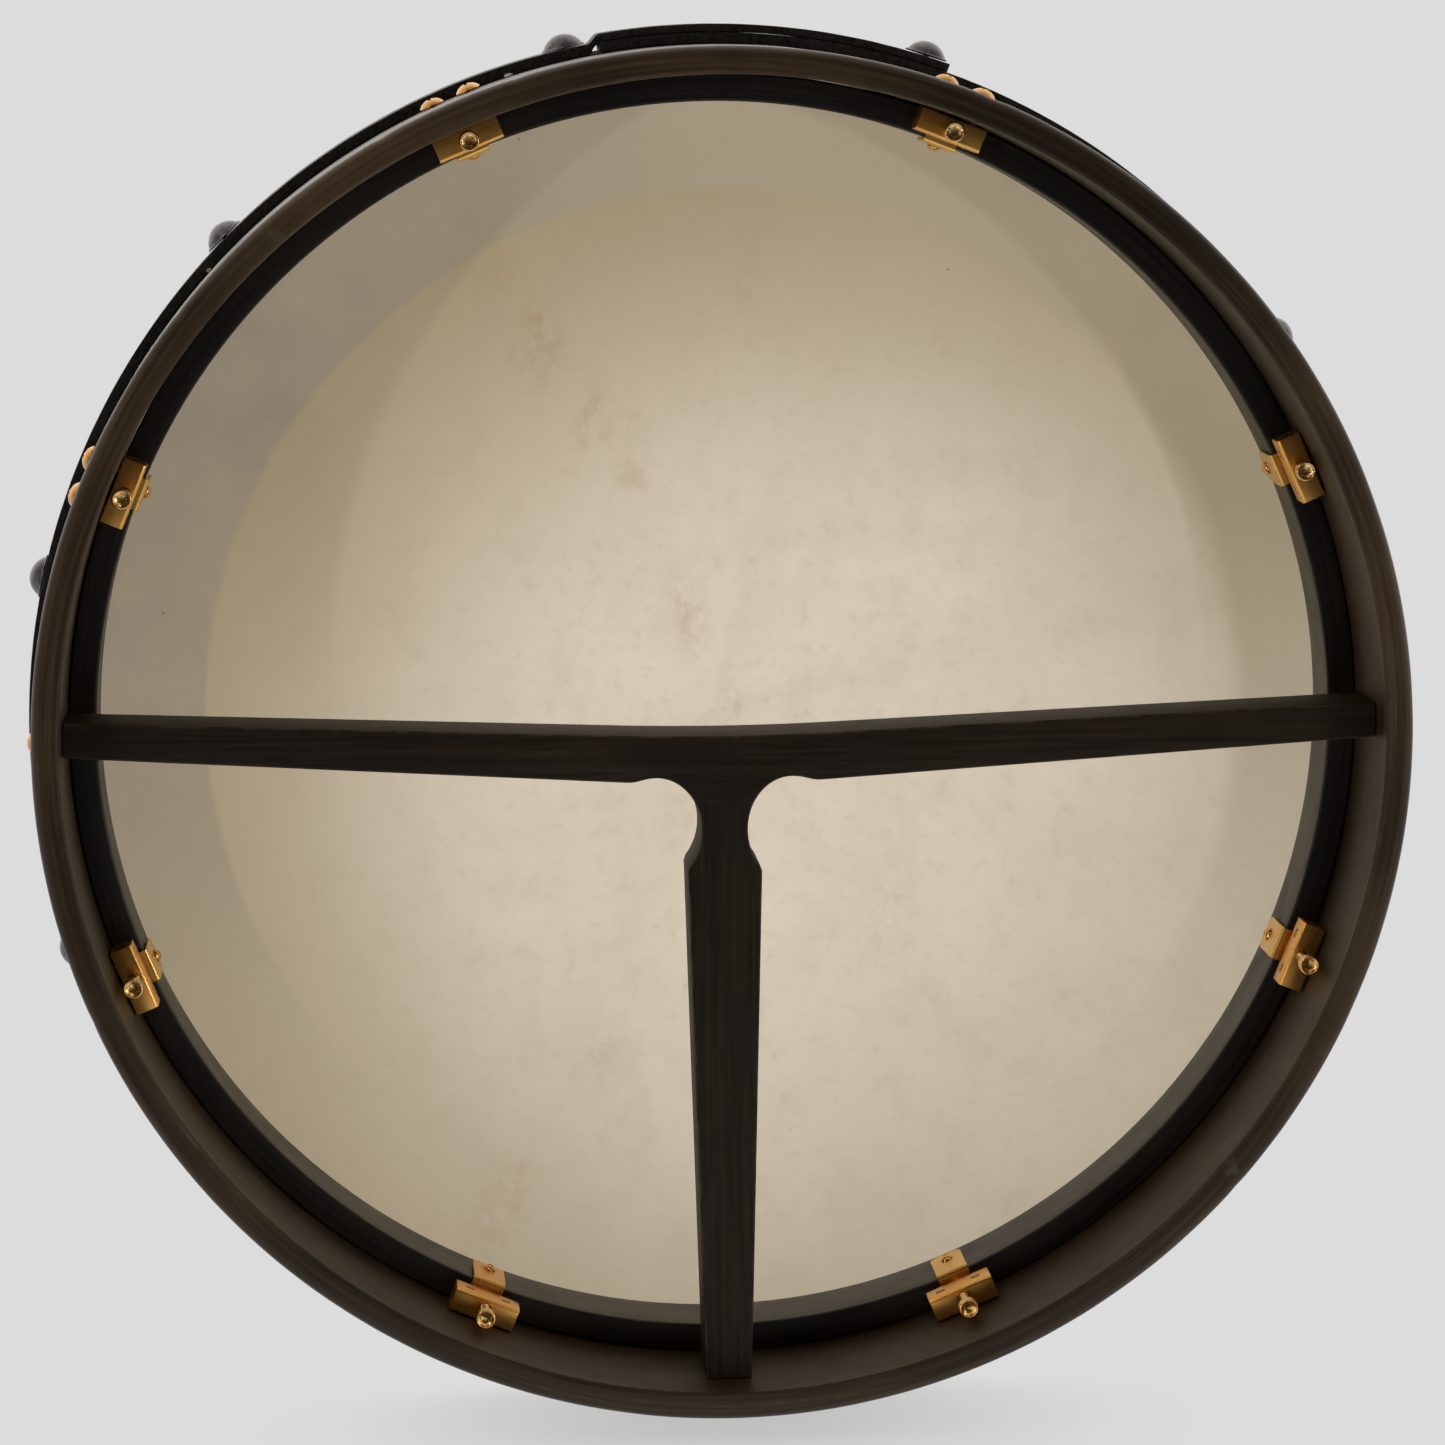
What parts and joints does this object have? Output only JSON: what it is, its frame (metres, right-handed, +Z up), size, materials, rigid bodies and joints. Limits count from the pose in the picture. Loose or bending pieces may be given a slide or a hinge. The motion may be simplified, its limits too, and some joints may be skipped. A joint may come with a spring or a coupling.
{
  "type": "frame drum",
  "caption": "Shallow wooden frame drum with a goatskin head, a T-shaped hand bar, an inner tuning ring worked by hex-key bolts, and a nailed leather band.",
  "frame": {"origin": "centre of the skin's front face", "axes": "+Y along the drum's axis, out of the skin; +Z up, from the T-bar's foot towards its cross bar; +X to the right for someone looking into the open back"},
  "size_m": [0.4705, 0.0889, 0.4723],
  "materials": {
    "shell_wood": "dark brown-black satin lacquer",
    "ring_wood": "dark satin lacquer, matt back face",
    "bar_wood": "near-black satin lacquer",
    "skin": "natural goatskin, matt, mottled",
    "band_leather": "black leather strip, soft sheen",
    "bracket_brass": "polished",
    "bolt_brass": "polished, knurled head",
    "tab_brass": "polished",
    "screw_brass": "satin",
    "nail_metal": "dark gunmetal dome"
  },
  "bodies": {
    "drum_frame": {"shell": "shell_wood", "skin": "skin", "leather_band": "band_leather", "t_bar": "bar_wood", "bracket_1": "bracket_brass", "bracket_2": "bracket_brass", "bracket_3": "bracket_brass", "bracket_4": "bracket_brass", "bracket_5": "bracket_brass", "bracket_6": "bracket_brass", "bracket_7": "bracket_brass", "bracket_8": "bracket_brass", "bracket_screw_1a": "screw_brass", "bracket_screw_1b": "screw_brass", "bracket_screw_2a": "screw_brass", "bracket_screw_2b": "screw_brass", "bracket_screw_3a": "screw_brass", "bracket_screw_3b": "screw_brass", "bracket_screw_4a": "screw_brass", "bracket_screw_4b": "screw_brass", "bracket_screw_5a": "screw_brass", "bracket_screw_5b": "screw_brass", "bracket_screw_6a": "screw_brass", "bracket_screw_6b": "screw_brass", "bracket_screw_7a": "screw_brass", "bracket_screw_7b": "screw_brass", "bracket_screw_8a": "screw_brass", "bracket_screw_8b": "screw_brass", "t_bar_screw_right": "screw_brass", "t_bar_screw_left": "screw_brass", "t_bar_screw_foot": "screw_brass", "band_nail_01": "nail_metal", "band_nail_02": "nail_metal", "band_nail_03": "nail_metal", "band_nail_04": "nail_metal", "band_nail_05": "nail_metal", "band_nail_06": "nail_metal", "band_nail_07": "nail_metal", "band_nail_08": "nail_metal", "band_nail_09": "nail_metal", "band_nail_10": "nail_metal", "band_nail_11": "nail_metal"},
    "tuning_ring": {"tuning_ring": "ring_wood", "pressure_tab_1": "tab_brass", "pressure_tab_2": "tab_brass", "pressure_tab_3": "tab_brass", "pressure_tab_4": "tab_brass", "pressure_tab_5": "tab_brass", "pressure_tab_6": "tab_brass", "pressure_tab_7": "tab_brass", "pressure_tab_8": "tab_brass"},
    "tuning_bolt_1": {"tuning_bolt_1": "bolt_brass"},
    "tuning_bolt_2": {"tuning_bolt_2": "bolt_brass"},
    "tuning_bolt_3": {"tuning_bolt_3": "bolt_brass"},
    "tuning_bolt_4": {"tuning_bolt_4": "bolt_brass"},
    "tuning_bolt_5": {"tuning_bolt_5": "bolt_brass"},
    "tuning_bolt_6": {"tuning_bolt_6": "bolt_brass"},
    "tuning_bolt_7": {"tuning_bolt_7": "bolt_brass"},
    "tuning_bolt_8": {"tuning_bolt_8": "bolt_brass"}
  },
  "joints": [
    {"name": "ring_slide", "type": "slide", "parent": "drum_frame", "child": "tuning_ring", "axis": [0, -1, 0], "range_m": [0, 0.0045]},
    {"name": "bolt_turn_1", "type": "hinge", "parent": "tuning_ring", "child": "tuning_bolt_1", "pos_m": [0.19658, 0, 0.08507], "axis": [0, -1, 0], "range_deg": [-10, 2330]},
    {"name": "bolt_turn_2", "type": "hinge", "parent": "tuning_ring", "child": "tuning_bolt_2", "pos_m": [0.07851, 0, 0.19929], "axis": [0, -1, 0], "range_deg": [-10, 2330]},
    {"name": "bolt_turn_3", "type": "hinge", "parent": "tuning_ring", "child": "tuning_bolt_3", "pos_m": [-0.08197, 0, 0.19789], "axis": [0, -1, 0], "range_deg": [-10, 2330]},
    {"name": "bolt_turn_4", "type": "hinge", "parent": "tuning_ring", "child": "tuning_bolt_4", "pos_m": [-0.19789, 0, 0.08197], "axis": [0, -1, 0], "range_deg": [-10, 2330]},
    {"name": "bolt_turn_5", "type": "hinge", "parent": "tuning_ring", "child": "tuning_bolt_5", "pos_m": [-0.19789, 0, -0.08197], "axis": [0, -1, 0], "range_deg": [-10, 2330]},
    {"name": "bolt_turn_6", "type": "hinge", "parent": "tuning_ring", "child": "tuning_bolt_6", "pos_m": [-0.08197, 0, -0.19789], "axis": [0, -1, 0], "range_deg": [-10, 2330]},
    {"name": "bolt_turn_7", "type": "hinge", "parent": "tuning_ring", "child": "tuning_bolt_7", "pos_m": [0.08197, 0, -0.19789], "axis": [0, -1, 0], "range_deg": [-10, 2330]},
    {"name": "bolt_turn_8", "type": "hinge", "parent": "tuning_ring", "child": "tuning_bolt_8", "pos_m": [0.19789, 0, -0.08197], "axis": [0, -1, 0], "range_deg": [-10, 2330]}
  ],
  "couplings": [
    {"joint": "bolt_turn_1", "follows": "ring_slide", "rad_per_m": 8976},
    {"joint": "bolt_turn_2", "follows": "ring_slide", "rad_per_m": 8976},
    {"joint": "bolt_turn_3", "follows": "ring_slide", "rad_per_m": 8976},
    {"joint": "bolt_turn_4", "follows": "ring_slide", "rad_per_m": 8976},
    {"joint": "bolt_turn_5", "follows": "ring_slide", "rad_per_m": 8976},
    {"joint": "bolt_turn_6", "follows": "ring_slide", "rad_per_m": 8976},
    {"joint": "bolt_turn_7", "follows": "ring_slide", "rad_per_m": 8976},
    {"joint": "bolt_turn_8", "follows": "ring_slide", "rad_per_m": 8976}
  ]
}
